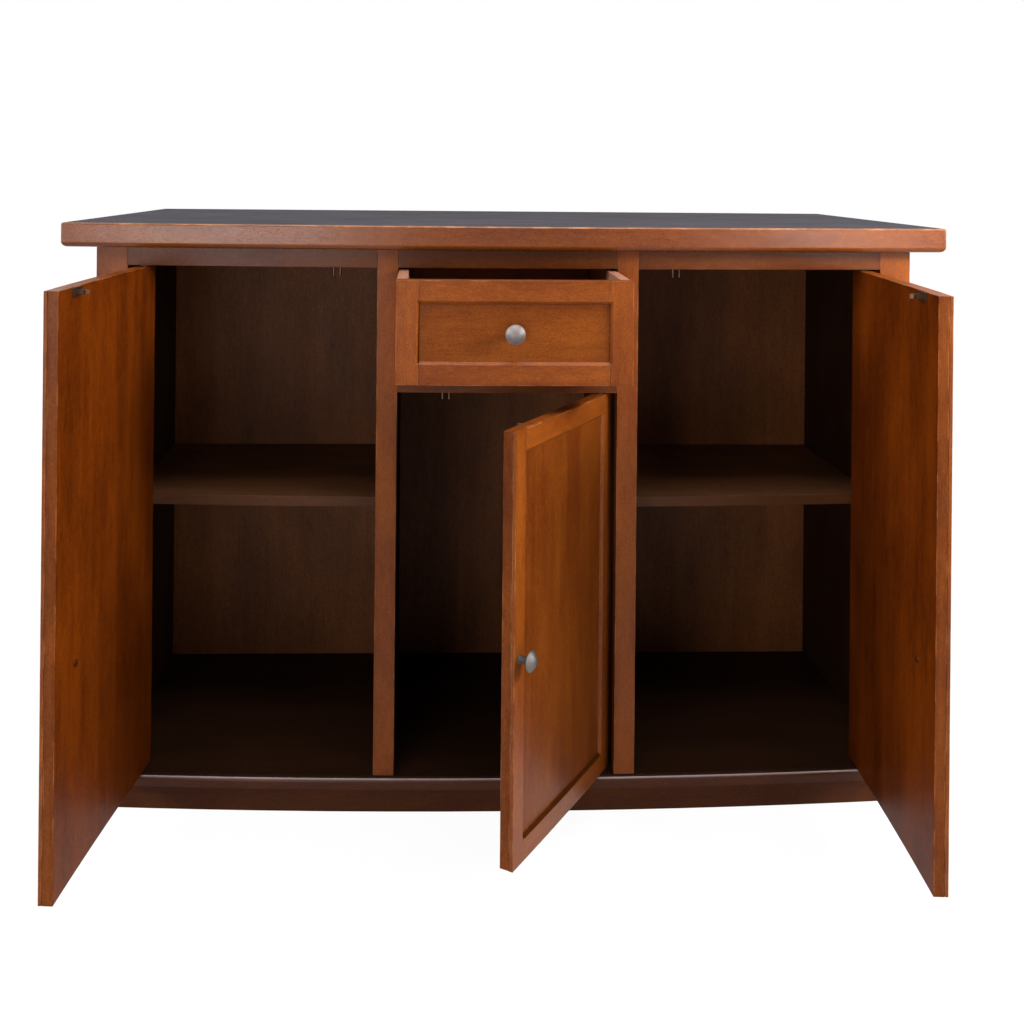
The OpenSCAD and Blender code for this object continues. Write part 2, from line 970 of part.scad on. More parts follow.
top_slab();
mirror([1, 0, 0]) side_panel();  // side_panel_left
side_panel();  // side_panel_right
mirror([1, 0, 0]) outer_stile();  // outer_stile_left
outer_stile();  // outer_stile_right
mirror([1, 0, 0]) mid_stile();  // mid_stile_left
mid_stile();  // mid_stile_right
rail(-open_x, -mid_out, head_z, body_h, -side_pivot_x);  // top_rail_left
top_rail_centre();
rail(mid_out, open_x, head_z, body_h, side_pivot_x);  // top_rail_right
rail(-mid_in, mid_in, drawer_rail_z, drawer_z, centre_pivot_x);  // drawer_rail
bottom_panel();
plinth_front();
plinth_ends();
plinth_back();
plinth_bearer();
mirror([1, 0, 0]) partition();  // partition_left
partition();  // partition_right
back_panel();
top_stretcher();
mirror([1, 0, 0]) shelf();  // shelf_left
shelf();  // shelf_right
shelf_pins();
drawer_runners();
door_catches();
pivot_sockets();

drawer() drawer_front_panel();
drawer() drawer_front_stiles();
drawer() drawer_front_rails();
drawer() mirror([1, 0, 0]) drawer_side();  // drawer_side_left
drawer() drawer_side();  // drawer_side_right
drawer() drawer_back();
drawer() drawer_bottom();
drawer() on_front(0, drawer_knob_z, skin_t) knob();  // drawer_knob
drawer() on_front(0, drawer_knob_z, skin_t) knob_screw(door_t - skin_t);  // drawer_knob_screw

left_door() door_panel(side_door, side_door_top, side_pivot_x, side_knob_x, skin_t);  // door_left_panel
left_door() door_stiles(side_door, side_door_top);  // door_left_stiles
left_door() door_rails(side_door, side_door_top);  // door_left_rails
left_door() on_front(side_knob_x, knob_z, skin_t) knob();  // door_left_knob
left_door() on_front(side_knob_x, knob_z, skin_t) knob_screw(door_t - skin_t);  // door_left_knob_screw
left_door() strike(side_catch_x, side_door_top);  // door_left_strike
left_door() pivot_pins(side_pivot_x, door_z, side_door_top);  // door_left_pivots

right_door() door_panel(side_door, side_door_top, side_pivot_x, side_knob_x, skin_t);  // door_right_panel
right_door() door_stiles(side_door, side_door_top);  // door_right_stiles
right_door() door_rails(side_door, side_door_top);  // door_right_rails
right_door() on_front(side_knob_x, knob_z, skin_t) knob();  // door_right_knob
right_door() on_front(side_knob_x, knob_z, skin_t) knob_screw(door_t - skin_t);  // door_right_knob_screw
right_door() strike(side_catch_x, side_door_top);  // door_right_strike
right_door() pivot_pins(side_pivot_x, door_z, side_door_top);  // door_right_pivots

centre_door() door_panel(centre_door, centre_door_top, centre_pivot_x, centre_knob_x, 0);  // door_centre_panel
centre_door()  // door_centre_stiles
    difference() {
      door_stiles(centre_door, centre_door_top);
      screw_bore(centre_knob_x, knob_z, 0);
    }
centre_door() door_rails(centre_door, centre_door_top);  // door_centre_rails
centre_door() on_front(centre_knob_x, knob_z, 0) knob();  // door_centre_knob
centre_door() on_front(centre_knob_x, knob_z, 0) knob_screw(door_t);  // door_centre_knob_screw
centre_door() strike(centre_catch_x, centre_door_top);  // door_centre_strike
centre_door() pivot_pins(centre_pivot_x, door_z, centre_door_top);  // door_centre_pivots
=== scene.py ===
"""A bow-front buffet cabinet in polished cherry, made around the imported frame."""

import json
import math

import bmesh
import bpy
import numpy as np
from mathutils import Matrix, Vector


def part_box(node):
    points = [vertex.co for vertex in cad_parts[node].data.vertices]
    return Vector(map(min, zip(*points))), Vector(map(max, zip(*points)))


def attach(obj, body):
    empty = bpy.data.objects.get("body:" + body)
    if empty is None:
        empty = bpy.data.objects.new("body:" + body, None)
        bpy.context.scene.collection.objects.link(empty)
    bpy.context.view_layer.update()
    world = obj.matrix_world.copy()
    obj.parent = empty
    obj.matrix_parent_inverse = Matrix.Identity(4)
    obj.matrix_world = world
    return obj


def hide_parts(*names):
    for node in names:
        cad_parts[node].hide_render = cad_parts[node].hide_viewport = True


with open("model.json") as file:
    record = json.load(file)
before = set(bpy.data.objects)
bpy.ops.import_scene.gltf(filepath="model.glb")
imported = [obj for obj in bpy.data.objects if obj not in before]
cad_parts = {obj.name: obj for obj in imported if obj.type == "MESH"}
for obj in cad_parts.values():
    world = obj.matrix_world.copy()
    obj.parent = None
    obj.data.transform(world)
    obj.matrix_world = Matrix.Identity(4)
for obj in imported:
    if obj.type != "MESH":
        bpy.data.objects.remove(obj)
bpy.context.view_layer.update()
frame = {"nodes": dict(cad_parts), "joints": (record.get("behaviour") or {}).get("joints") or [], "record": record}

bl_info = {
    "name": "Bow-Front Buffet Cabinet",
    "version": (1, 0, 0),
    "blender": (4, 5, 0),
    "location": "View3D > Sidebar > Buffet",
    "description": "Dresses the packed buffet cabinet in polished wood, nickel and steel",
    "category": "Add Mesh",
}

JOINTS = {joint["child"]: joint for joint in frame["joints"]}
BODY_OF = {
    node: body
    for body, nodes in frame["record"]["behaviour"]["bodies"].items()
    for node in nodes
}


# Settings


def length(name, description, default):
    """A length in metres that a user can change."""
    return bpy.props.FloatProperty(
        name=name, description=description, default=default, unit="LENGTH"
    )


def tint(name, description, default):
    """A colour that a user can change."""
    return bpy.props.FloatVectorProperty(
        name=name, description=description, default=default, size=3, subtype="COLOR"
    )


class BuffetSizes(bpy.types.PropertyGroup):
    """Sizes of the carcass that the new surfaces repeat, and how sharp its edges are."""

    front_width: length("Front width", "Width over the front corners of the carcass", 1.228)
    depth: length("Depth", "Depth of the carcass at its corners", 0.440)
    swell: length("Swell", "How far the bowed front stands forward at the middle", 0.024)
    arris: length("Arris", "Width of the softened edge of a board", 0.0009)
    grid_step: length("Grid step", "Distance between the sections of a bowed board", 0.012)
    top_front: length("Top front width", "Width of the top along its front", 1.320)
    top_back: length("Top back width", "Width of the top along its back", 1.222)
    top_under: length("Lower rounding", "Radius of the lower edge of the top", 0.008)
    top_edge: length("Upper rounding", "Radius of the upper edge of the top", 0.003)
    knob_radius: length("Knob radius", "Radius of a knob at its rim", 0.0137)
    knob_height: length("Knob height", "How far a knob stands off the wood", 0.025)


class BuffetColours(bpy.types.PropertyGroup):
    """Colours of the stained and polished wood, of the inside and of the metal."""

    polished: tint(
        "Polished wood", "Middle tone of the stained and polished cherry", (0.200, 0.050, 0.0055)
    )
    polished_dark: tint(
        "Dark figure", "Tone of the late wood and of the pores", (0.088, 0.016, 0.0025)
    )
    # Partly stain rubbed thin on an edge, partly a painted highlight along the arrises.
    worn_and_lit: tint(
        "Worn edge", "Tone where the stain is rubbed thin on an edge", (0.36, 0.150, 0.060)
    )
    # Painted reflection: a pale tone on the upper rounding of the bottom panel for the light that it reflects, not
    # stain rubbed thin.
    nosing_reflection: tint(
        "Worn nosing", "Tone of the rubbed rounding of the bottom panel", (0.60, 0.47, 0.45)
    )
    # Painted reflection: the nearly black, bluish tone of the top's upper face stands for the dark reflection that
    # it shows at a low angle.
    top_face_reflection: tint(
        "Top face", "Tone of the upper face of the top, stained nearly black", (0.034, 0.029, 0.038)
    )
    door_inside: tint(
        "Door inside", "Middle tone of the inner faces of the doors", (0.118, 0.0225, 0.0012)
    )
    door_inside_dark: tint(
        "Door inside figure", "Tone of the late wood on those faces", (0.034, 0.005, 0.0005)
    )
    inside: tint(
        "Inside wood", "Middle tone of the back and of the other wood inside", (0.175, 0.055, 0.014)
    )
    # Painted shade: the floor, the inner faces of the sides and the partitions are darkened for the shade inside
    # the cabinet.
    painted_shade_inside: tint(
        "Dark inside wood",
        "Middle tone of the heavily stained floor, sides and partitions",
        (0.024, 0.0085, 0.0032),
    )
    shelf: tint("Shelf wood", "Middle tone of the shelves", (0.172, 0.070, 0.028))
    shelf_dark: tint("Shelf figure", "Tone of the shelves' late wood", (0.070, 0.028, 0.011))
    drawer_wood: tint(
        "Drawer wood", "Tone of the thinly stained drawer sides", (0.30, 0.135, 0.082)
    )
    nickel: tint("Nickel", "Colour of the satin nickel knobs", (0.172, 0.151, 0.144))
    steel: tint("Steel", "Colour of the plated steel fittings", (0.105, 0.062, 0.040))
    bronze: tint("Bronze", "Colour of the bronzed screws of the knobs", (0.20, 0.052, 0.010))
    floor: tint("Floor", "Colour of the studio floor", (0.80, 0.80, 0.80))


# Shader maths


class Sock:
    """A node's output in Python arithmetic: each operator adds the Math node that it names."""

    def __init__(self, nodes, out):
        self.nodes = nodes
        self.out = out

    def _math(self, operation, *values):
        return self.nodes.node(
            "ShaderNodeMath", {"operation": operation}, dict(enumerate(values))
        )

    def __add__(self, other):
        return self._math("ADD", self, other)

    __radd__ = __add__

    def __sub__(self, other):
        return self._math("SUBTRACT", self, other)

    def __rsub__(self, other):
        return self._math("SUBTRACT", other, self)

    def __mul__(self, other):
        return self._math("MULTIPLY", self, other)

    __rmul__ = __mul__

    def __abs__(self):
        return self._math("ABSOLUTE", self)

    def low(self, other):
        """The lower of two numbers."""
        return self._math("MINIMUM", self, other)

    def high(self, other):
        """The higher of two numbers."""
        return self._math("MAXIMUM", self, other)

    def between(self, low, high):
        """0 below low, 1 above high, and a smooth step in between."""
        return self.nodes.node(
            "ShaderNodeMapRange",
            {"interpolation_type": "SMOOTHSTEP"},
            {"Value": self, "From Min": low, "From Max": high},
        )


class Nodes:
    """The nodes of a material or of the world. Each of them is added by the method node."""

    def __init__(self, tree):
        self.tree = tree

    def node(self, kind, settings, inputs, output=0):
        """Adds a node of a type: its settings first, then the values or links of its sockets.

        It gives the output that is asked for, if the node has any.
        """
        made = self.tree.nodes.new(kind)
        for key, value in settings.items():
            setattr(made, key, value)
        for key, value in inputs.items():
            if isinstance(value, Sock):
                self.tree.links.new(value.out, made.inputs[key])
            else:
                made.inputs[key].default_value = value
        return Sock(self, made.outputs[output]) if len(made.outputs) else None

    def place(self):
        """A point's place in its object."""
        return self.node("ShaderNodeTexCoord", {}, {}, "Object")

    def seen(self):
        """1 for what the camera, mirrors and glass see, and 0 for what lights a surface."""
        camera, mirrors, glass = (
            self.node("ShaderNodeLightPath", {}, {}, f"Is {kind} Ray")
            for kind in ("Camera", "Glossy", "Transmission")
        )
        return (camera + mirrors + glass).low(1.0)


class Paint(Nodes):
    """A material with a principled shader, and the few nodes that the finishes share."""

    def __init__(self, name):
        self.material = bpy.data.materials.new(name)
        self.material.use_nodes = True
        super().__init__(self.material.node_tree)
        self.shader = next(n for n in self.tree.nodes if n.type == "BSDF_PRINCIPLED")

    def attribute(self, name):
        """The piece's own vector attribute, as a vector."""
        return self.node("ShaderNodeAttribute", {"attribute_name": name}, {}, "Vector")

    def split(self, vector):
        """The three numbers of a vector."""
        return [self.node("ShaderNodeSeparateXYZ", {}, {0: vector}, k) for k in range(3)]

    def noise(self, vector, squeeze, scale, detail, roughness, distortion=0.0):
        """A noise of a place that is first squeezed along each of its axes."""
        squeezed = self.node(
            "ShaderNodeVectorMath", {"operation": "MULTIPLY"}, {0: vector, 1: squeeze}
        )
        return self.node(
            "ShaderNodeTexNoise",
            {},
            {
                "Vector": squeezed,
                "Scale": scale,
                "Detail": detail,
                "Roughness": roughness,
                "Distortion": distortion,
            },
            "Fac",
        )

    def mixed(self, factor, first, second):
        """A colour between two colours."""
        first, second = (c if isinstance(c, Sock) else (*c, 1.0) for c in (first, second))
        return self.node(
            "ShaderNodeMix",
            {"data_type": "RGBA", "clamp_factor": True},
            {"Factor": factor, "A": first, "B": second},
            "Result",
        )

    def finish(self, colour, roughness, relief, strength, height, constants):
        """Puts a colour, a roughness and a relief of a height in metres on the shader.

        The constants are the same all over the piece, so they go straight on its sockets.
        """
        normal = self.node(
            "ShaderNodeBump", {}, {"Height": relief, "Strength": strength, "Distance": height}
        )
        for key, value in (("Base Color", colour), ("Roughness", roughness), ("Normal", normal)):
            self.tree.links.new(value.out, self.shader.inputs[key])
        for key, value in constants.items():
            self.shader.inputs[key].default_value = value
        return self.material


# Finishes

# A noise that isn't squeezed.
EVEN = (1.0, 1.0, 1.0)
# Noises of the wood: how much each is squeezed along, across and through the board, then
# its scale, detail and roughness, and for the growth rings how much they wander.
GRAIN = {
    "blotch": ((3.0, 7.0, 7.0), 1.9, 3.0, 0.55),
    "rings": ((0.8, 13.0, 13.0), 3.0, 6.0, 0.62, 0.5),
    "fine": ((7.0, 170.0, 170.0), 6.0, 3.0, 0.6),
    "pores": ((110.0, 900.0, 900.0), 2.4, 2.0, 0.5),
    "fleck": ((150.0, 230.0, 230.0), 2.0, 2.0, 0.6),
    "mottle": ((34.0, 70.0, 70.0), 2.0, 4.0, 0.65),
    "patches": (EVEN, 26.0, 3.0, 0.6),
    "haze": ((1.0, 2.0, 2.0), 9.0, 3.0, 0.6),
}
# Masks of the wood: the noise that each comes from, where it starts and where it is full.
MASKS = {
    "band": ("rings", 0.32, 0.68),
    "streak": ("fine", 0.35, 0.70),
    "pore": ("pores", 0.56, 0.72),
    "bright": ("fleck", 0.54, 0.72),
    "plain": ("fleck", 0.30, 0.50),
    "patch": ("patches", 0.42, 0.66),
}
# What streaks, blotches and mottle add to the late wood, and the noise that adds nothing.
STREAK, BLOTCH, MOTTLE = 0.26, 1.5, 0.8
BLOTCH_MIDDLE, MIDDLE = 0.38, 0.5
# How much of their colour bright flecks, dark flecks, pores and the painted seam shade put on the
# wood, and how much lighter or darker than the wood's two tones that colour is.
BRIGHT_FLECK, DARK_FLECK, PORE, SEAM_SHADE = 0.15, 0.50, 0.45, 0.22
BRIGHT_TONE, PORE_TONE, SEAM_SHADE_TONE = 1.9, 0.5, 0.6
# Distances from an edge, in metres: where the painted seam shade starts to fade and where it ends.
SEAM_SHADE_NEAR, SEAM_SHADE_FAR = 0.001, 0.007
# Half the width of the step between the lower and the upper edges of a board; upper edges carry more of the
# painted highlight.
LIT_UPPER_STEP = 0.002
# What haze, pores and the lighter edges add to the roughness, and pores, streaks and rings to the relief.
ROUGH_HAZE, ROUGH_PORE, ROUGH_WEAR = 0.16, 0.10, 0.08
RELIEF_PORE, RELIEF_FINE, RELIEF_BAND = -0.6, 0.35, 0.15
# Strength of the wood's relief and its height in metres.
WOOD_RELIEF = (0.14, 0.0003)
# The finishes made so far, by name.
FINISHES = {}


def times(colour, factor):
    """A colour made darker or lighter by a factor."""
    return [channel * factor for channel in colour]


def wood(
    name,
    tone,
    dark,
    worn_and_lit,
    gloss,
    rub_and_highlight,
    shade=1.0,
    figure=1.0,
    specular=0.14,
    stripe=0.26,
    scuff=(0.0003, 0.0018, 0.0, 1.0),
):
    """Stained wood under satin lacquer.

    The attribute board holds a point's place along, across and through its board, local
    its place from the middle of the board, and half the half sizes of the board, all in
    metres. The stain is blotchy at the size of a hand, growth rings are a noise of the
    place squeezed across the grain, pores are short streaks along it, and an edge is where
    the second smallest distance to the board's faces nears zero.

    gloss is the roughness of the lacquer, and rub_and_highlight how strongly an edge takes the
    tone worn_and_lit: partly stain rubbed thin, partly a painted highlight along the arris.
    shade darkens both tones, and on the rails, the door mouldings, the plinth and the nosing it
    is painted shade. figure is the share of the late wood, and stripe that of its rings. scuff
    holds the distances at which the lighter edge starts to fade and ends, the share of it that
    has no gaps, and the share that lower edges have of it; where that share is below one, the
    upper edges carry a painted highlight, as if lit from above.
    """
    paint = Paint(name)
    tone, dark = times(tone, shade), times(dark, shade)
    board = paint.attribute("board")
    noise = {key: paint.noise(board, *values) for key, values in GRAIN.items()}
    mask = {key: noise[source].between(*steps) for key, (source, *steps) in MASKS.items()}
    pore, patch = mask["pore"], mask["patch"]

    late = mask["band"] * stripe + mask["streak"] * STREAK
    late = late + (noise["blotch"] - BLOTCH_MIDDLE) * BLOTCH + (noise["mottle"] - MIDDLE) * MOTTLE
    colour = paint.mixed(late.high(0.0).low(1.0) * figure, tone, dark)
    colour = paint.mixed(mask["bright"] * BRIGHT_FLECK, colour, times(tone, BRIGHT_TONE))
    colour = paint.mixed((1.0 - mask["plain"]) * DARK_FLECK, colour, dark)
    colour = paint.mixed(pore * PORE, colour, times(dark, PORE_TONE))

    place = paint.split(paint.attribute("local"))
    gaps = [h - abs(p) for h, p in zip(paint.split(paint.attribute("half")), place)]
    low, high = gaps[0].low(gaps[1]), gaps[0].high(gaps[1])
    edge = low.high(high.low(gaps[2]))
    near, far, even, below = scuff
    # Lighter edges: partly stain rubbed thin, partly a painted highlight along the arrises.
    wear_and_highlight = (1.0 - edge.between(near, far)) * (patch * (1.0 - even) + even)
    # Painted highlight: upper edges get more of the lighter tone than lower ones, as if lit from above.
    if below < 1.0:
        upper = place[2].between(-LIT_UPPER_STEP, LIT_UPPER_STEP)
        wear_and_highlight = wear_and_highlight * (upper * (1.0 - below) + below)
    colour = paint.mixed(wear_and_highlight * rub_and_highlight, colour, worn_and_lit)
    # Painted shade: the wood is darkened near each edge, away from the lighter patches, for the shade in the seams
    # between parts.
    seam_shade = (1.0 - edge.between(SEAM_SHADE_NEAR, SEAM_SHADE_FAR)) * (1.0 - patch) * SEAM_SHADE
    colour = paint.mixed(seam_shade, colour, times(dark, SEAM_SHADE_TONE))

    roughness = gloss + (noise["haze"] - MIDDLE) * ROUGH_HAZE + pore * ROUGH_PORE
    roughness = roughness + wear_and_highlight * ROUGH_WEAR
    relief = pore * RELIEF_PORE + noise["fine"] * RELIEF_FINE + mask["band"] * RELIEF_BAND
    constants = {"Specular IOR Level": specular}
    return paint.finish(colour, roughness, relief, *WOOD_RELIEF, constants)


def satin_nickel(name, tone):
    """Brushed nickel: fine turned lines round the knob, faint handling marks, and a rougher foot and neck that are
    painted darker for the shade under the head.
    """
    mark_steps, mark_share, mark_tone = (0.45, 0.75), 0.35, 0.72
    neck_shade_heights, neck_shade_share, neck_shade_tone = (0.011, 0.016), 0.6, 0.25
    satin, rough_lines, rough_marks, rough_dull = 0.52, 0.12, 0.10, 0.08
    line_relief = (0.10, 0.0001)

    paint = Paint(name)
    turned = paint.attribute("turned")
    lines = paint.noise(turned, (1.0, 2600.0, 2600.0), 1.0, 2.0, 0.5)
    marks = paint.noise(paint.place(), EVEN, 260.0, 3.0, 0.6)
    dull_and_shaded = 1.0 - paint.split(turned)[1].between(*neck_shade_heights)
    colour = paint.mixed(marks.between(*mark_steps) * mark_share, tone, times(tone, mark_tone))
    # Painted shade: the foot and neck below the head are darkened.
    colour = paint.mixed(dull_and_shaded * neck_shade_share, colour, times(tone, neck_shade_tone))
    roughness = satin + (lines - MIDDLE) * rough_lines + marks * rough_marks + dull_and_shaded * rough_dull
    return paint.finish(colour, roughness, lines, *line_relief, {"Metallic": 1.0})


def plated_steel(name, tone):
    """Plated steel: cloudy crystals, small scratches and darker oxide in spots."""
    cloud_steps, cloud_share, cloud_tone = (0.35, 0.70), 0.5, 0.70
    spot_steps, spot_share, spot_tone = (0.60, 0.74), 0.5, 0.40
    plated, rough_cloud, rough_spots = 0.46, 0.20, 0.15
    scratch_relief = (0.08, 0.0001)

    paint = Paint(name)
    place = paint.place()
    cloud = paint.noise(place, EVEN, 90.0, 4.0, 0.6)
    scratch = paint.noise(place, (900.0, 120.0, 240.0), 1.0, 2.0, 0.5)
    spots = paint.noise(place, EVEN, 420.0, 3.0, 0.7).between(*spot_steps)
    colour = paint.mixed(cloud.between(*cloud_steps) * cloud_share, tone, times(tone, cloud_tone))
    colour = paint.mixed(spots * spot_share, colour, times(tone, spot_tone))
    roughness = plated + (cloud - MIDDLE) * rough_cloud + spots * rough_spots
    return paint.finish(colour, roughness, scratch, *scratch_relief, {"Metallic": 1.0})


def finish_named(name):
    """A finish by its name, made when it is first asked for."""
    if name in FINISHES:
        return FINISHES[name]
    c = bpy.context.scene.buffet_colours
    cherry = {
        "tone": c.polished,
        "dark": c.polished_dark,
        "worn_and_lit": c.polished,
        "gloss": 0.31,
        "rub_and_highlight": 0.35,
        "specular": 0.13,
    }
    inside = {
        "tone": c.inside,
        "dark": times(c.inside, 0.40),
        "worn_and_lit": c.polished,
        "gloss": 0.50,
        "rub_and_highlight": 0.10,
    }
    woods = {
        "polished": {**cherry, "worn_and_lit": c.worn_and_lit},
        "panel": {**cherry, "worn_and_lit": c.worn_and_lit, "shade": 0.82, "specular": 0.08, "stripe": 0.36},
        # Painted shade: the top rails are darkened for the shadow of the top, and the drawer rail for the shadow
        # of the drawer.
        "rail": {**cherry, "shade": 0.55},
        # Painted shade on the upward bevels of the doors' rails.
        "shaded_moulding": {**cherry, "shade": 0.30},
        # The slab's broad lighter arris is partly stain rubbed thin and partly a painted highlight; lower edges
        # get half of it.
        "slab": {
            **cherry,
            "worn_and_lit": times(c.worn_and_lit, 0.9),
            "gloss": 0.25,
            "rub_and_highlight": 0.9,
            "shade": 0.76,
            "specular": 0.27,
            "scuff": (0.001, 0.0032, 0.45, 0.5),
        },
        # The nosing: painted shade darkens it, and its upper rounding carries the painted reflection.
        "nosing": {
            **cherry,
            "worn_and_lit": c.nosing_reflection,
            "gloss": 0.36,
            "rub_and_highlight": 0.95,
            "shade": 0.34,
            "specular": 0.16,
            "scuff": (0.0012, 0.0058, 1.0, 0.0),
        },
        # Painted shade: the plinth is darkened for the shade low under the doors.
        "plinth": {**cherry, "gloss": 0.50, "rub_and_highlight": 0.20, "shade": 0.32, "specular": 0.10},
        "door_inside": {
            **cherry,
            "tone": c.door_inside,
            "dark": c.door_inside_dark,
            "gloss": 0.40,
            "rub_and_highlight": 0.5,
            "specular": 0.03,
            "stripe": 0.30,
        },
        # The upper face of the top: the painted dark reflection.
        "top": {
            **cherry,
            "tone": c.top_face_reflection,
            "dark": times(c.top_face_reflection, 0.5),
            "gloss": 0.42,
            "rub_and_highlight": 0.3,
            "specular": 0.005,
        },
        "inside": inside,
        "shelf": {**inside, "tone": c.shelf, "dark": c.shelf_dark, "rub_and_highlight": 0.25},
        "shelf_edge": {**inside, "shade": 0.50, "rub_and_highlight": 0.30},
        # Painted shade of the inside.
        "painted_shade_inside": {
            **inside,
            "tone": c.painted_shade_inside,
            "dark": times(c.painted_shade_inside, 0.45),
            "gloss": 0.55,
            "specular": 0.08,
        },
        "drawer": {
            "tone": c.drawer_wood,
            "dark": times(c.drawer_wood, 0.5),
            "worn_and_lit": c.worn_and_lit,
            "gloss": 0.52,
            "rub_and_highlight": 0.25,
            "figure": 0.7,
        },
    }
    metals = {
        "nickel": (satin_nickel, "satin_nickel_knob", c.nickel),
        "steel": (plated_steel, "plated_steel_fittings", c.steel),
        "bronzed": (plated_steel, "bronzed_steel_screw", c.bronze),
    }
    if name in woods:
        FINISHES[name] = wood(f"{name}_cherry", **woods[name])
    else:
        maker, material, tone = metals[name]
        FINISHES[name] = maker(material, tone)
    return FINISHES[name]


# The bow and the boards

# Distances in metres within which two points are one: on a new surface, and on a copy.
MERGE_NEW, MERGE_COPY = 1e-6, 1e-5
# Degrees: faces that meet at less are one flat face, and edges sharper than this are softened.
FLAT_ANGLE, SOFT_ANGLE = 0.2, 28
# How far the shift of a board's grain goes either way, so that no two boards look alike.
GRAIN_SHIFT = 4.0
GRAIN_AXES = {
    # Order of (x or arc, y or depth, z) that gives along, across and through.
    "upright": (2, 0, 1),
    "level": (0, 2, 1),
    "flat": (0, 1, 2),
    "flat_deep": (1, 0, 2),
    "side": (2, 1, 0),
}


def bow_radius():
    """Radius of the front: the circle through both front corners and the middle of the swell."""
    s = bpy.context.scene.buffet_sizes
    half = s.front_width / 2
    return (half * half + s.swell * s.swell) / (2 * s.swell)


def bow_centre():
    """y of the centre of that circle, which stands behind the cabinet."""
    s = bpy.context.scene.buffet_sizes
    return bow_radius() - s.depth / 2 - s.swell


def closing(body):
    """Turn in radians about z that closes a door, and the x and y of its pivot."""
    joint = JOINTS.get(body)
    if joint is None or joint["type"] != "hinge":
        return 0.0, (0.0, 0.0)
    return math.radians(joint["range_deg"][0]) * joint["axis"][2], joint["pos_m"][:2]


def pull(body):
    """How far a body stands out along -y from its shut place."""
    joint = JOINTS.get(body)
    if joint is None or joint["type"] != "slide":
        return 0.0
    return -joint["range_m"][0]


def shut(points, body):
    """Points of a body in its shut place: turned back about the pivot, or pushed back along y."""
    turn, (px, py) = closing(body)
    out = points.copy()
    x, y = points[:, 0] - px, points[:, 1] - py
    out[:, 0] = px + x * math.cos(turn) - y * math.sin(turn)
    out[:, 1] = py + x * math.sin(turn) + y * math.cos(turn) + pull(body)
    return out


def opened(points, body):
    """Points of a shut body in its open place of rest, the other way round from shut."""
    turn, (px, py) = closing(body)
    x, y = points[:, 0] - px, points[:, 1] - py - pull(body)
    out = points.copy()
    out[:, 0] = px + x * math.cos(turn) + y * math.sin(turn)
    out[:, 1] = py - x * math.sin(turn) + y * math.cos(turn)
    return out


def bowed_place(points):
    """Arc from the middle, depth behind the front, and height of points of the shut cabinet."""
    radius, centre = bow_radius(), bow_centre()
    angle = np.arctan2(points[:, 0], centre - points[:, 1])
    depth = radius - np.hypot(points[:, 0], centre - points[:, 1])
    return np.stack([angle * radius, depth, points[:, 2]], 1)


def on_bow(arc, depth, z):
    """Points of the shut cabinet from arc, depth and height, each an array of one shape.

    point = centre + (radius - depth) * (sin a, -cos a), with a = arc / radius
    """
    radius, centre = bow_radius(), bow_centre()
    angle = arc / radius
    return np.stack(
        [(radius - depth) * np.sin(angle), centre - (radius - depth) * np.cos(angle), z], -1
    )


def mesh_points(mesh):
    """The points of a mesh, an array of points by 3."""
    flat = np.empty(len(mesh.vertices) * 3, np.float32)
    mesh.vertices.foreach_get("co", flat)
    return flat.reshape(-1, 3).astype(float)


def store(mesh, name, values):
    """Stores a vector for each point of a mesh, which a finish reads by its name."""
    layer = mesh.attributes.new(name, "FLOAT_VECTOR", "POINT")
    layer.data.foreach_set("vector", values.astype(np.float32).ravel())


def board_coordinates(mesh, body, grain, bowed, seed):
    """Stores each point's place in its board.

    The points go to the shut place, become arc, depth and height where the board follows
    the bow, and are counted from the middle of their box. local is that place, half is
    half the box, and board is the place in grain order, moved by a shift that differs
    from board to board.
    """
    points = shut(mesh_points(mesh), body)
    if bowed:
        points = bowed_place(points)
    low, high = points.min(0), points.max(0)
    local = points - (low + high) / 2
    shift = np.random.default_rng(seed).uniform(-GRAIN_SHIFT, GRAIN_SHIFT, 3)
    store(mesh, "board", local[:, GRAIN_AXES[grain]] + shift)
    store(mesh, "local", local)
    store(mesh, "half", np.broadcast_to((high - low) / 2, local.shape))


def mesh_object(name, vertices, faces):
    """A new object at the origin with a mesh of these points and faces."""
    mesh = bpy.data.meshes.new(name)
    mesh.from_pydata(vertices.reshape(-1, 3).tolist(), [], faces)
    mesh.update()
    made = bpy.data.objects.new(name, mesh)
    bpy.context.scene.collection.objects.link(made)
    return made


def loft(name, rings):
    """A closed surface through rings of points, an array of rings by points by 3.

    Point j of ring i joins point j of ring i + 1, the last point of a ring joins its
    first, and the first and last ring are capped with one face each.
    """
    count, around = rings.shape[:2]
    i, j = np.meshgrid(np.arange(count - 1), np.arange(around), indexing="ij")
    here, on = i * around + j, i * around + (j + 1) % around
    faces = np.stack([here, on, on + around, here + around], -1).reshape(-1, 4).tolist()
    faces.append(list(range(around))[::-1])
    faces.append(list(range((count - 1) * around, count * around)))
    made = mesh_object(name, rings, faces)
    bm = bmesh.new()
    bm.from_mesh(made.data)
    bmesh.ops.remove_doubles(bm, verts=bm.verts, dist=MERGE_NEW)
    bmesh.ops.recalc_face_normals(bm, faces=bm.faces)
    bm.to_mesh(made.data)
    bm.free()
    return made


def bowed_board(name, low, high):
    """A board that follows the front, between two corners given as arc, depth and height.

    Its section is a rectangle of depth and height, and it is carried along the arc.
    """
    step = bpy.context.scene.buffet_sizes.grid_step
    arc = np.linspace(low[0], high[0], math.ceil((high[0] - low[0]) / step) + 1)
    depth = (low[1], low[1], high[1], high[1])
    z = (low[2], high[2], high[2], low[2])
    return loft(name, on_bow(*np.broadcast_arrays(arc[:, None], depth, z)))


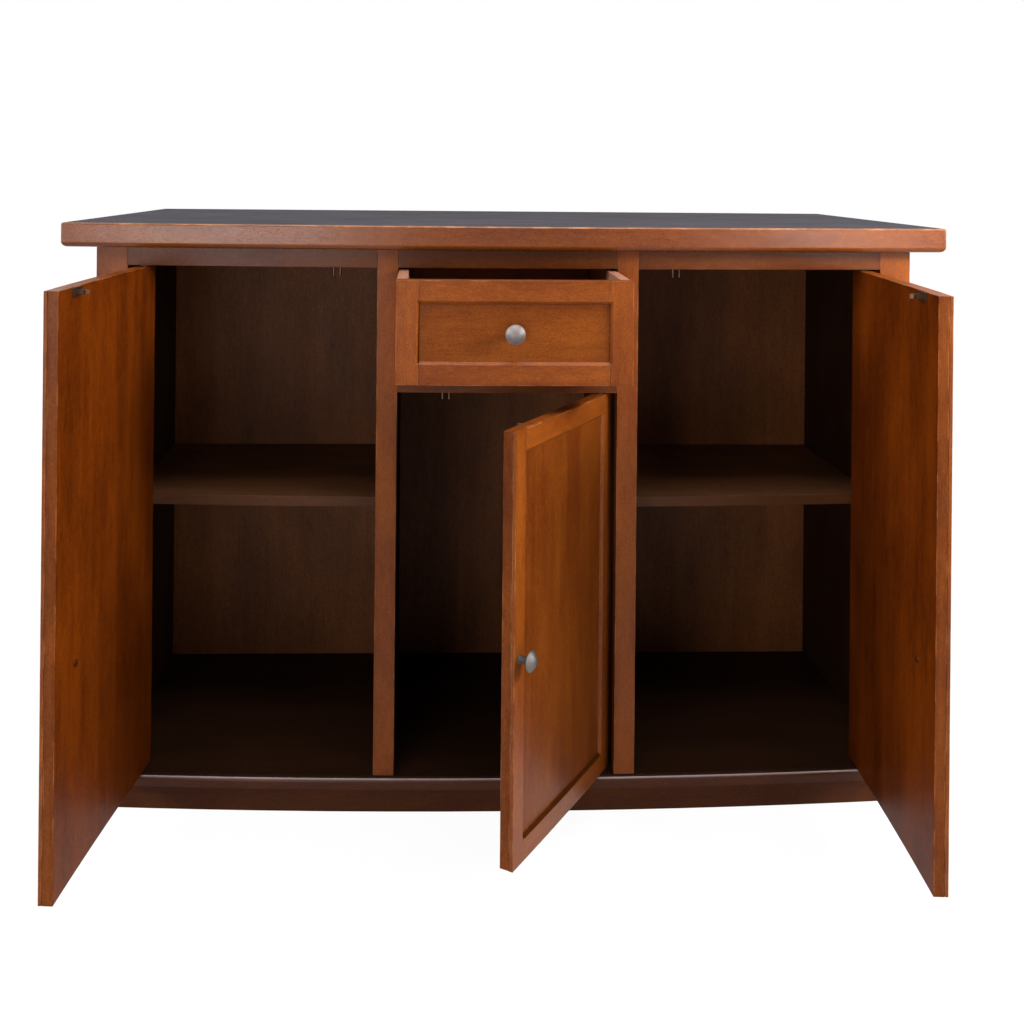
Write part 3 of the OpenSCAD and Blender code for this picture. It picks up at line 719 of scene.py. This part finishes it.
def soften(made):
    """Softens the sharp edges and shades the surface smooth between them."""
    made.data.shade_smooth()
    bevel = made.modifiers.new("arris", "BEVEL")
    bevel.width = bpy.context.scene.buffet_sizes.arris
    bevel.segments = 2
    bevel.limit_method = "ANGLE"
    bevel.angle_limit = math.radians(SOFT_ANGLE)
    bevel.use_clamp_overlap = True
    even = made.modifiers.new("even_shading", "WEIGHTED_NORMAL")
    even.keep_sharp = True


def copied(node):
    """A copy of a CAD node's mesh, its doubles merged and its flat faces joined."""
    source = frame["nodes"][node]
    made = bpy.data.objects.new(node + "_board", source.data.copy())
    bpy.context.scene.collection.objects.link(made)
    made.data.materials.clear()
    bm = bmesh.new()
    bm.from_mesh(made.data)
    bmesh.ops.remove_doubles(bm, verts=bm.verts, dist=MERGE_COPY)
    bmesh.ops.dissolve_limit(
        bm, angle_limit=math.radians(FLAT_ANGLE), verts=bm.verts, edges=bm.edges
    )
    bm.to_mesh(made.data)
    bm.free()
    if made.data.has_custom_normals:
        made.data.normals_split_custom_set([(0, 0, 0)] * len(made.data.loops))
    return made


def dress(made, node, finish, grain, seed, bowed=True):
    """Finishes a board: its grain, soft edges, material and body, and the node it stands for."""
    body = BODY_OF[node]
    board_coordinates(made.data, body, grain, bowed, seed)
    made.data.materials.append(finish_named(finish))
    soften(made)
    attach(made, body)
    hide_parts(node)
    return made


def shut_box(node):
    """Lowest and highest corner of a node in its shut place, as arc, depth and height."""
    place = bowed_place(shut(mesh_points(frame["nodes"][node].data), BODY_OF[node]))
    return place.min(0), place.max(0)


def bowed_node(node, finish, grain, seed):
    """A bowed board worked out anew from the arc, depth and height that its node takes up."""
    made = bowed_board(node + "_board", *shut_box(node))
    moved = opened(mesh_points(made.data), BODY_OF[node])
    made.data.vertices.foreach_set("co", moved.astype(np.float32).ravel())
    made.data.update()
    return dress(made, node, finish, grain, seed)


def copied_node(node, finish, grain, seed, bowed=True):
    """A board whose joints matter, such as a rebate or a mitred bevel, from its node's mesh."""
    return dress(copied(node), node, finish, grain, seed, bowed)


def inner_board(node, finish, grain, seed):
    """A flat board inside or behind the carcass, from its node's mesh."""
    return copied_node(node, finish, grain, seed, bowed=False)


def other_finish(made, finish, direction, least=0.7, most=1.1):
    """Gives another finish to the faces that point along a direction, between two cosines."""
    mesh = made.data
    mesh.materials.append(finish_named(finish))
    normals = np.empty(len(mesh.polygons) * 3, np.float32)
    mesh.polygons.foreach_get("normal", normals)
    cosine = normals.reshape(-1, 3) @ np.array(direction, float)
    turned = (cosine > least) & (cosine < most)
    index = np.empty(len(mesh.polygons), np.int32)
    mesh.polygons.foreach_get("material_index", index)
    index[turned] = len(mesh.materials) - 1
    mesh.polygons.foreach_set("material_index", index)


# Operators

# Ways that a face can point.
UP, FORWARDS = (0, 0, 1), (0, -1, 0)
# Cosines for other_finish: least of a level face and of a door's back, and both of a bevel.
LEVEL_LEAST, DOOR_BACK_LEAST, BEVEL_LEAST, BEVEL_MOST = 0.9999, 0.9, 0.3, 0.9
# Points along the front of the top, along each end and on each rounding of its rim.
FRONT_POINTS, END_POINTS, RIM_POINTS = 121, 40, 7
# Rounds in which the front corner of the top settles where its two lines cross.
CORNER_ROUNDS = 40
# Points on each curve of a knob's profile, and sections round it.
PROFILE_POINTS, KNOB_SECTIONS = 14, 64


class BUFFET_OT_face_frame(bpy.types.Operator):
    """Stiles and rails of the face frame, which follow the bow."""

    bl_idname = "buffet.face_frame"
    bl_label = "Face Frame"

    def execute(self, context):
        for seed, node in enumerate(("outer_stile_left", "outer_stile_right"), 10):
            copied_node(node, "polished", "upright", seed)
        for seed, node in enumerate(("mid_stile_left", "mid_stile_right"), 12):
            bowed_node(node, "polished", "upright", seed)
        rails = ("top_rail_left", "top_rail_centre", "top_rail_right", "drawer_rail")
        for seed, node in enumerate(rails, 20):
            # The rails carry painted shade.
            copied_node(node, "rail", "level", seed)
        return {"FINISHED"}


def slab_outline(inset):
    """Plan of the top drawn in by an inset, its front corners where the two lines cross.

    The front is an arc about the centre of the bow, the ends are straight and splayed,
    and the back is straight and isn't drawn in.
    """
    low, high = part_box("top_slab")
    s = bpy.context.scene.buffet_sizes
    over = -low.y - s.depth / 2 - s.swell
    radius, centre = bow_radius() + over - inset, bow_centre()
    corner_y = -s.depth / 2 - over
    slope = (s.top_front - s.top_back) / 2 / (high.y - corner_y)
    shift = inset * math.sqrt(1 + slope * slope)

    def side(y):
        return s.top_back / 2 + slope * (high.y - y) - shift

    y = corner_y
    for _ in range(CORNER_ROUNDS):
        y = centre - math.sqrt(radius**2 - side(y) ** 2)
    reach = math.asin(side(y) / radius)
    angle = np.linspace(-reach, reach, FRONT_POINTS)
    arc = np.column_stack([radius * np.sin(angle), centre - radius * np.cos(angle)])
    run = np.linspace(y, high.y, END_POINTS)[1:]
    right = np.column_stack([side(run), run])
    return np.vstack([arc, right, right[::-1] * (-1, 1)])


def slab_rim():
    """Inset and height of the rim from below: two quarter rounds and a flat between them."""
    low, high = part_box("top_slab")
    s = bpy.context.scene.buffet_sizes
    t = np.linspace(0, math.pi / 2, RIM_POINTS)
    under, edge = s.top_under, s.top_edge
    lower = np.column_stack([under * (1 - np.sin(t)), low.z + under * (1 - np.cos(t))])
    upper = np.column_stack([edge * (1 - np.cos(t)), high.z - edge * (1 - np.sin(t))])
    return np.vstack([lower, upper])


class BUFFET_OT_top(bpy.types.Operator):
    """The top, with a rounded rim along its bowed front and splayed ends."""

    bl_idname = "buffet.top"
    bl_label = "Top"

    def execute(self, context):
        rings = [np.insert(slab_outline(inset), 2, z, axis=1) for inset, z in slab_rim()]
        made = loft("top_slab_board", np.stack(rings))
        # The top's rim carries a lighter arris that is partly a painted highlight.
        dress(made, "top_slab", "slab", "flat", 1)
        # The upper face of the top gets the painted dark reflection.
        other_finish(made, "top", UP, LEVEL_LEAST)
        return {"FINISHED"}


class BUFFET_OT_carcass(bpy.types.Operator):
    """Sides, bottom, partitions, back, stretcher and plinth."""

    bl_idname = "buffet.carcass"
    bl_label = "Carcass"

    def execute(self, context):
        for inwards, node in ((1, "side_panel_left"), (-1, "side_panel_right")):
            made = copied_node(node, "polished", "side", 31 + inwards, bowed=False)
            # The inner face of each side carries the painted shade of the inside.
            other_finish(made, "painted_shade_inside", (inwards, 0, 0))
        for seed, node in enumerate(("partition_left", "partition_right"), 33):
            # The partitions carry the painted shade of the inside.
            inner_board(node, "painted_shade_inside", "side", seed)
        # The front of the bottom panel carries painted shade and, on its upper rounding, a painted reflection.
        made = copied_node("bottom_panel", "nosing", "flat", 29)
        # The upper face of the bottom carries the painted shade of the inside.
        other_finish(made, "painted_shade_inside", UP)
        inner_board("back_panel", "inside", "upright", 35)
        inner_board("top_stretcher", "inside", "flat", 36)
        # The plinth carries painted shade.
        copied_node("plinth_front", "plinth", "level", 37)
        for seed, node in enumerate(("plinth_ends", "plinth_back", "plinth_bearer"), 38):
            inner_board(node, "plinth", "level", seed)
        return {"FINISHED"}


class BUFFET_OT_shelves(bpy.types.Operator):
    """The two shelves and the runners of the drawer."""

    bl_idname = "buffet.shelves"
    bl_label = "Shelves"

    def execute(self, context):
        for seed, node in enumerate(("shelf_left", "shelf_right"), 50):
            made = inner_board(node, "shelf", "flat", seed)
            other_finish(made, "shelf_edge", FORWARDS)
        inner_board("drawer_runners", "inside", "flat_deep", 52)
        return {"FINISHED"}


class BUFFET_OT_doors(bpy.types.Operator):
    """The three doors: a bowed panel each, and the bevelled strips on its face."""

    bl_idname = "buffet.doors"
    bl_label = "Doors"

    def execute(self, context):
        for seed, side in ((60, "left"), (70, "right"), (80, "centre")):
            made = bowed_node(f"door_{side}_panel", "panel", "upright", seed)
            turn = closing(f"{side}_door")[0]
            back = (math.sin(turn), math.cos(turn), 0.0)
            other_finish(made, "door_inside", back, DOOR_BACK_LEAST)
            copied_node(f"door_{side}_stiles", "polished", "upright", seed + 1)
            made = copied_node(f"door_{side}_rails", "polished", "level", seed + 2)
            # The upward bevels of the rails carry painted shade.
            other_finish(made, "shaded_moulding", UP, BEVEL_LEAST, BEVEL_MOST)
        return {"FINISHED"}


class BUFFET_OT_drawer(bpy.types.Operator):
    """The drawer: a bowed front with strips, two sides, a back and a bottom."""

    bl_idname = "buffet.drawer"
    bl_label = "Drawer"

    def execute(self, context):
        copied_node("drawer_front_panel", "panel", "level", 100)
        copied_node("drawer_front_stiles", "polished", "upright", 101)
        copied_node("drawer_front_rails", "polished", "level", 102)
        for seed, node in enumerate(("drawer_side_left", "drawer_side_right"), 103):
            inner_board(node, "drawer", "flat_deep", seed)
        inner_board("drawer_back", "drawer", "flat", 105)
        inner_board("drawer_bottom", "drawer", "flat_deep", 106)
        return {"FINISHED"}


def knob_profile():
    """Radius and height of a knob from its foot to the middle of its dome, in metres.

    A short foot, a neck that narrows and then flares with the fourth power of its run, an
    underside that climbs to the rim with the power 1.5 of its run, a rim rounded by a half
    ellipse, and a dome that falls with the square of the radius.
    """
    s = bpy.context.scene.buffet_sizes
    waist, wider_below, wider_above = 0.0047, 0.0004, 0.0052
    neck_start, neck_run = 0.0016, 0.0120
    under_radius, under_height = 0.0099, 0.0137
    rim_out, rim_up, rim_share = 0.0008, 0.0010, 0.7
    rim_radius, rim_height = s.knob_radius - rim_out, rim_share * s.knob_height

    t = np.linspace(0, 1, PROFILE_POINTS)
    turn = np.linspace(-math.pi / 2, math.pi / 2, PROFILE_POINTS)
    foot = [[0.0059, 0.0], [0.0060, 0.0003], [0.0060, 0.0012], [0.0057, 0.0015]]
    neck_radius = waist + wider_below * (1 - t) ** 4 + wider_above * t**4
    neck = np.column_stack([neck_radius, neck_start + neck_run * t])
    under_run = (rim_radius - under_radius) * t, (rim_height - rim_up - under_height) * t**1.5
    under = np.column_stack([under_radius + under_run[0], under_height + under_run[1]])
    rim = np.column_stack(
        [rim_radius + rim_out * np.cos(turn), rim_height + rim_up * np.sin(turn)]
    )
    rise = (s.knob_height - rim_height - rim_up) * (1 - (1 - t) ** 2)
    dome = np.column_stack([rim_radius * (1 - t), rim_height + rim_up + rise])
    return np.vstack([foot, neck, under[1:], rim, dome[1:-1]])


def turned_knob(node):
    """A knob as its profile turned about the axis that its node has.

    point = foot + height * out + radius * (cos a * side + sin a * up). The attribute turned
    holds a point's height over the foot and its distance from the axis, after a zero.
    """
    body = BODY_OF[node]
    low, high = shut_box(node)
    arc, z = (low[0] + high[0]) / 2, (low[2] + high[2]) / 2
    foot = on_bow(arc, high[1], z)
    tilt = arc / bow_radius()
    side = np.array([math.cos(tilt), math.sin(tilt), 0.0])
    out = np.array([math.sin(tilt), -math.cos(tilt), 0.0])
    up = np.array([0.0, 0.0, 1.0])
    radius, height = (column[:, None, None] for column in knob_profile().T)
    angle = np.linspace(0, 2 * math.pi, KNOB_SECTIONS, endpoint=False)[:, None]
    rings = foot + height * out + radius * (np.cos(angle) * side + np.sin(angle) * up)
    made = loft(node + "_turned", opened(rings.reshape(-1, 3), body).reshape(rings.shape))
    place = shut(mesh_points(made.data), body) - foot
    from_axis = np.hypot(place @ side, place @ up)
    store(made.data, "turned", np.column_stack([0 * from_axis, place @ out, from_axis]))
    return made


class BUFFET_OT_knobs(bpy.types.Operator):
    """The four turned knobs."""

    bl_idname = "buffet.knobs"
    bl_label = "Knobs"

    def execute(self, context):
        for node in ("drawer_knob", "door_left_knob", "door_right_knob", "door_centre_knob"):
            made = turned_knob(node)
            made.data.materials.append(finish_named("nickel"))
            made.data.shade_smooth()
            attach(made, BODY_OF[node])
            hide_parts(node)
        return {"FINISHED"}


class BUFFET_OT_fittings(bpy.types.Operator):
    """Steel on the pivots, sockets, catches, strikes and pins, and bronze on the screws."""

    bl_idname = "buffet.fittings"
    bl_label = "Fittings"

    def execute(self, context):
        names = ["shelf_pins", "door_catches", "pivot_sockets", "drawer_knob_screw"]
        for side in ("left", "right", "centre"):
            names += [f"door_{side}_{part}" for part in ("knob_screw", "strike", "pivots")]
        for node in names:
            mesh = frame["nodes"][node].data
            mesh.materials.clear()
            mesh.materials.append(finish_named("bronzed" if node.endswith("screw") else "steel"))
        return {"FINISHED"}


# The stage

# Half the floor's width, and how far it lies under the plinth.
FLOOR_HALF, FLOOR_GAP = 9.0, 0.0004
# Share of plain white that the eye sees near the middle, where it starts to grow and is full.
WHITE_SHARE, WHITE_NEAR, WHITE_FAR = 0.90, 0.8, 2.0
# Strength of that white, and of the world's light on the object.
WHITE_GLOW, WORLD_LIGHT = 1.05, 0.06
WHITE = (1.0, 1.0, 1.0, 1.0)

# The point that the large lamps are turned to.
AIM = (0.0, -0.4, 0.6)
LAMPS = (
    # Name, place, the point it is turned to, width and height, watts, and if mirrors show it.
    ("right_softbox", (2.7, -0.9, 1.8), AIM, (1.0, 1.0), 106.0, True),
    ("left_softbox", (-2.7, -0.9, 1.8), AIM, (1.0, 1.0), 79.0, True),
    ("overhead_softbox", (0.0, -0.9, 2.6), AIM, (1.8, 0.9), 42.0, True),
    ("right_strip", (1.7, -2.77, 0.7), (0.4, -0.2, 0.8), (0.8, 0.5), 13.0, True),
    ("left_strip", (-1.2, -2.9, 0.7), (-0.4, -0.2, 0.8), (1.2, 0.5), 25.0, True),
    ("corner_lamp", (0.95, -0.8, 1.15), (0.6, -0.28, 0.86), (0.25, 0.25), 15.0, False),
)

# The photograph's camera: width of its picture and distance of its eye in pixels, width of
# its sensor, shift, place, and degrees that it is turned right, down and round its view.
PHOTO_WIDTH, EYE_DISTANCE, SENSOR_WIDTH = 1024, 1247.251, 36.0
CAMERA_SHIFT = (0.0336, -0.3472)
CAMERA_PLACE = (-0.111016, -2.097855, 0.977112)
CAMERA_TURNS = (1.952, -0.058, -0.537)


def white_to_the_eye(name, colour):
    """A floor that keeps the shadow near the object and goes white to the eye further off.

    The share of plain white that the camera, mirrors and glass see grows with the
    distance from the middle of the floor.
    """
    material = bpy.data.materials.new(name)
    material.use_nodes = True
    material.node_tree.nodes.clear()
    nodes = Nodes(material.node_tree)
    far = nodes.node(
        "ShaderNodeVectorMath", {"operation": "LENGTH"}, {0: nodes.place()}, "Value"
    )
    share = WHITE_SHARE + far.between(WHITE_NEAR, WHITE_FAR) * (1.0 - WHITE_SHARE)
    diffuse = nodes.node("ShaderNodeBsdfDiffuse", {}, {"Color": (*colour, 1.0)})
    glow = nodes.node("ShaderNodeEmission", {}, {"Color": WHITE, "Strength": WHITE_GLOW})
    mix = nodes.node("ShaderNodeMixShader", {}, {0: nodes.seen() * share, 1: diffuse, 2: glow})
    nodes.node("ShaderNodeOutputMaterial", {}, {"Surface": mix})
    return material


def white_world():
    """A world that is white to the eye and lights the object only a little."""
    world = bpy.data.worlds.new("studio")
    world.use_nodes = True
    world.node_tree.nodes.clear()
    nodes = Nodes(world.node_tree)
    strength = WORLD_LIGHT + nodes.seen() * (1.0 - WORLD_LIGHT)
    back = nodes.node("ShaderNodeBackground", {}, {"Color": WHITE, "Strength": strength})
    nodes.node("ShaderNodeOutputWorld", {}, {"Surface": back})
    return world


def area_light(name, place, target, size, power, in_mirrors):
    """A soft lamp at a place, turned to a target."""
    data = bpy.data.lights.new(name, "AREA")
    data.shape = "RECTANGLE"
    data.size, data.size_y = size
    data.energy = power
    lamp = bpy.data.objects.new(name, data)
    bpy.context.scene.collection.objects.link(lamp)
    lamp.location = place
    lamp.visible_camera = False
    lamp.visible_glossy = in_mirrors
    way = Vector(np.array(target) - np.array(place))
    lamp.rotation_euler = way.to_track_quat("-Z", "Y").to_euler()


def photo_camera():
    """The camera as it stood for the photograph."""
    data = bpy.data.cameras.new("photo_camera")
    data.sensor_width = SENSOR_WIDTH
    data.sensor_fit = "HORIZONTAL"
    data.lens = SENSOR_WIDTH * EYE_DISTANCE / PHOTO_WIDTH
    data.shift_x, data.shift_y = CAMERA_SHIFT
    camera = bpy.data.objects.new("photo_camera", data)
    bpy.context.scene.collection.objects.link(camera)
    yaw, pitch, roll = (math.radians(turn) for turn in CAMERA_TURNS)
    right = np.array([math.cos(yaw), -math.sin(yaw), 0.0])
    ahead = np.array(
        [math.sin(yaw) * math.cos(pitch), math.cos(yaw) * math.cos(pitch), -math.sin(pitch)]
    )
    down = np.cross(ahead, right)
    across = math.cos(roll) * right + math.sin(roll) * down
    below = -math.sin(roll) * right + math.cos(roll) * down
    matrix = np.eye(4)
    matrix[:3, :3] = np.column_stack([across, -below, -ahead])
    matrix[:3, 3] = CAMERA_PLACE
    camera.matrix_world = Matrix(matrix.tolist())
    return camera


class BUFFET_OT_stage(bpy.types.Operator):
    """White floor and world, soft lamps and the camera."""

    bl_idname = "buffet.stage"
    bl_label = "Stage"

    def execute(self, context):
        scene = context.scene
        corners = FLOOR_HALF * np.array([[-1, -1], [-1, 1], [1, -1], [1, 1]])
        floor = mesh_object(
            "studio_floor", np.insert(corners, 2, -FLOOR_GAP, axis=1), [[0, 2, 3, 1]]
        )
        floor.data.materials.append(white_to_the_eye("studio_floor", scene.buffet_colours.floor))
        scene.world = white_world()
        for lamp in LAMPS:
            area_light(*lamp)
        scene.camera = photo_camera()
        scene.view_settings.view_transform = "Standard"
        return {"FINISHED"}


# The panel and the order of the work


class BUFFET_PT_panel(bpy.types.Panel):
    """Lists the pieces of the cabinet."""

    bl_idname = "BUFFET_PT_panel"
    bl_label = "Buffet Cabinet"
    bl_space_type = "VIEW_3D"
    bl_region_type = "UI"
    bl_category = "Buffet"

    def draw(self, context):
        for group in (context.scene.buffet_sizes, context.scene.buffet_colours):
            box = self.layout.box()
            for key in group.bl_rna.properties.keys():
                if key not in ("rna_type", "name"):
                    box.prop(group, key)
        for operator in OPERATORS:
            self.layout.operator(operator.bl_idname)


OPERATORS = (
    BUFFET_OT_face_frame,
    BUFFET_OT_top,
    BUFFET_OT_carcass,
    BUFFET_OT_shelves,
    BUFFET_OT_doors,
    BUFFET_OT_drawer,
    BUFFET_OT_knobs,
    BUFFET_OT_fittings,
    BUFFET_OT_stage,
)
CLASSES = (BuffetSizes, BuffetColours, *OPERATORS, BUFFET_PT_panel)


def register():
    for cls in CLASSES:
        bpy.utils.register_class(cls)
    bpy.types.Scene.buffet_sizes = bpy.props.PointerProperty(type=BuffetSizes)
    bpy.types.Scene.buffet_colours = bpy.props.PointerProperty(type=BuffetColours)


def unregister():
    del bpy.types.Scene.buffet_colours
    del bpy.types.Scene.buffet_sizes
    for cls in reversed(CLASSES):
        bpy.utils.unregister_class(cls)


def main():
    """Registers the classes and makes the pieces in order."""
    register()
    for operator in OPERATORS:
        group, name = operator.bl_idname.split(".")
        getattr(getattr(bpy.ops, group), name)()


if __name__ == "__main__":
    main()
